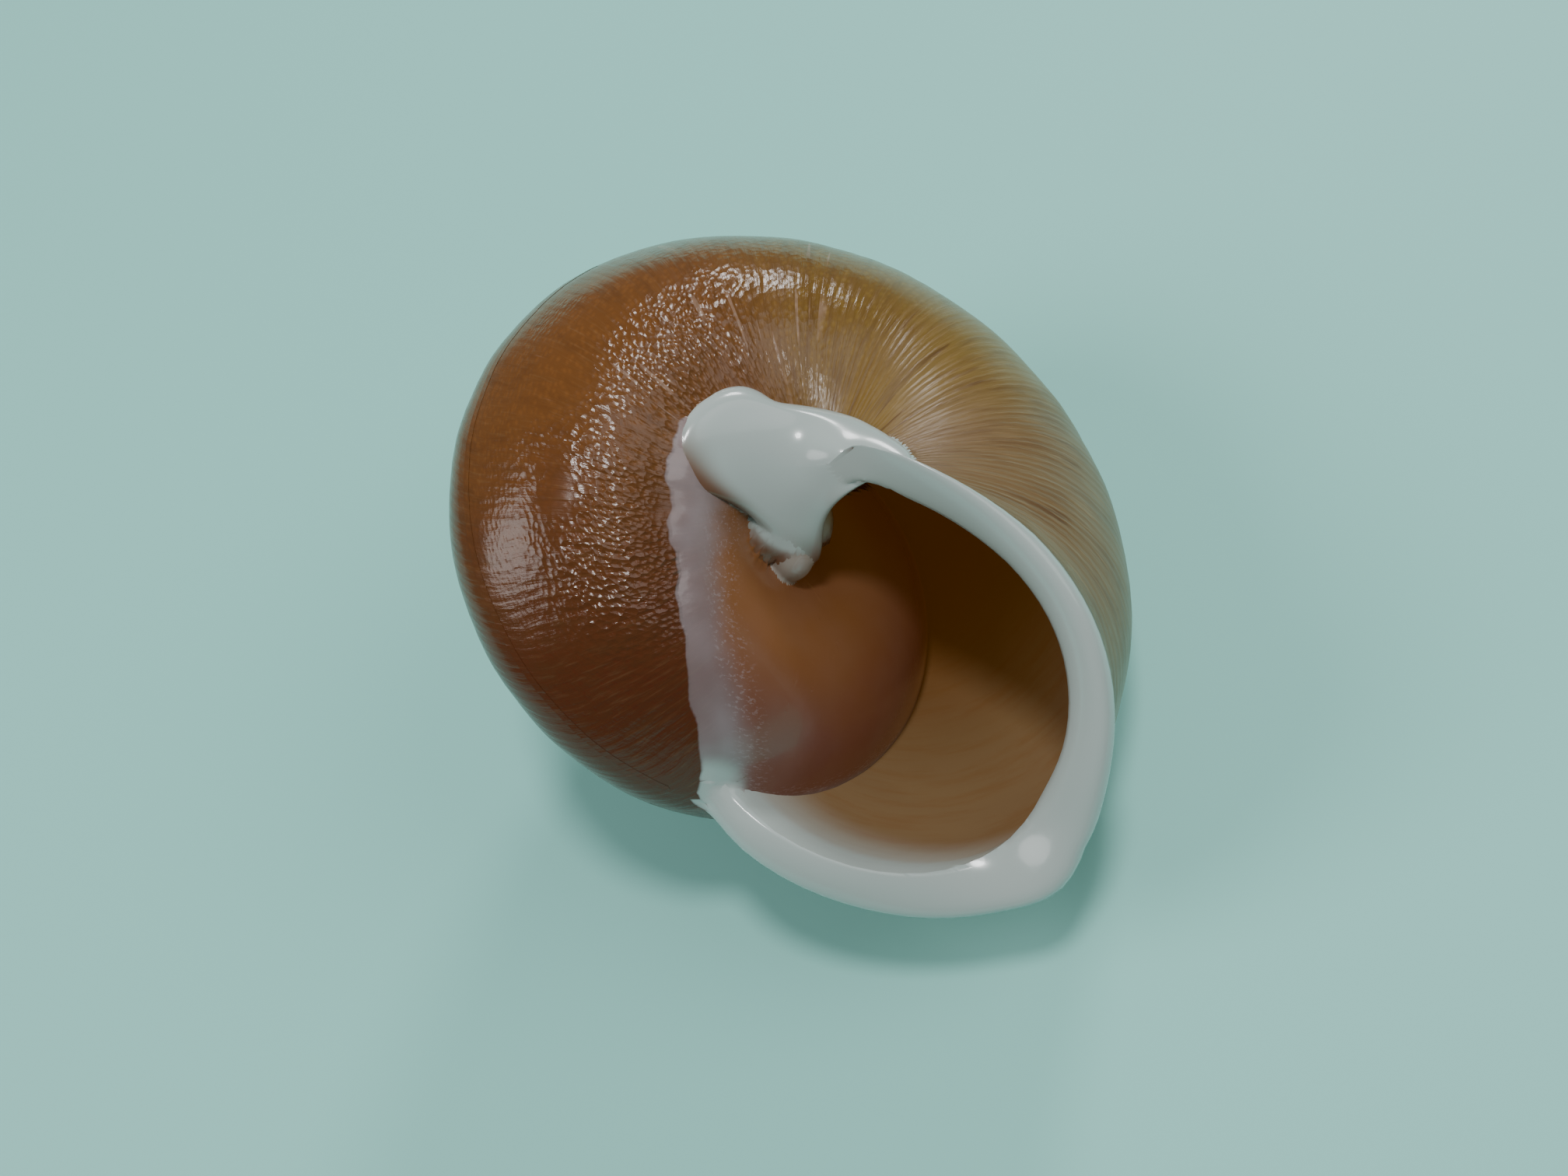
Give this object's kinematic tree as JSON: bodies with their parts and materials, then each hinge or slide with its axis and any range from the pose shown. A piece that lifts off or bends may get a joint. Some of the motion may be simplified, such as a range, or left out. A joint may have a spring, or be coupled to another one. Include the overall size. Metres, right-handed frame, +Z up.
{
  "type": "land snail shell",
  "caption": "glossy brown left-handed land snail shell with a thick white rolled lip, lying mouth up",
  "frame": {"origin": "on the ground, under the middle of the shell's bounding box", "axes": "+Z is up as the shell rests on its spire and shoulder; -Y is the front, towards the viewer, with the mouth facing up; +X is to the viewer's right"},
  "size_m": [0.0392, 0.0468, 0.0294],
  "materials": {
    "shell": "glossy"
  },
  "bodies": {
    "root": {"shell": "shell"}
  },
  "joints": []
}
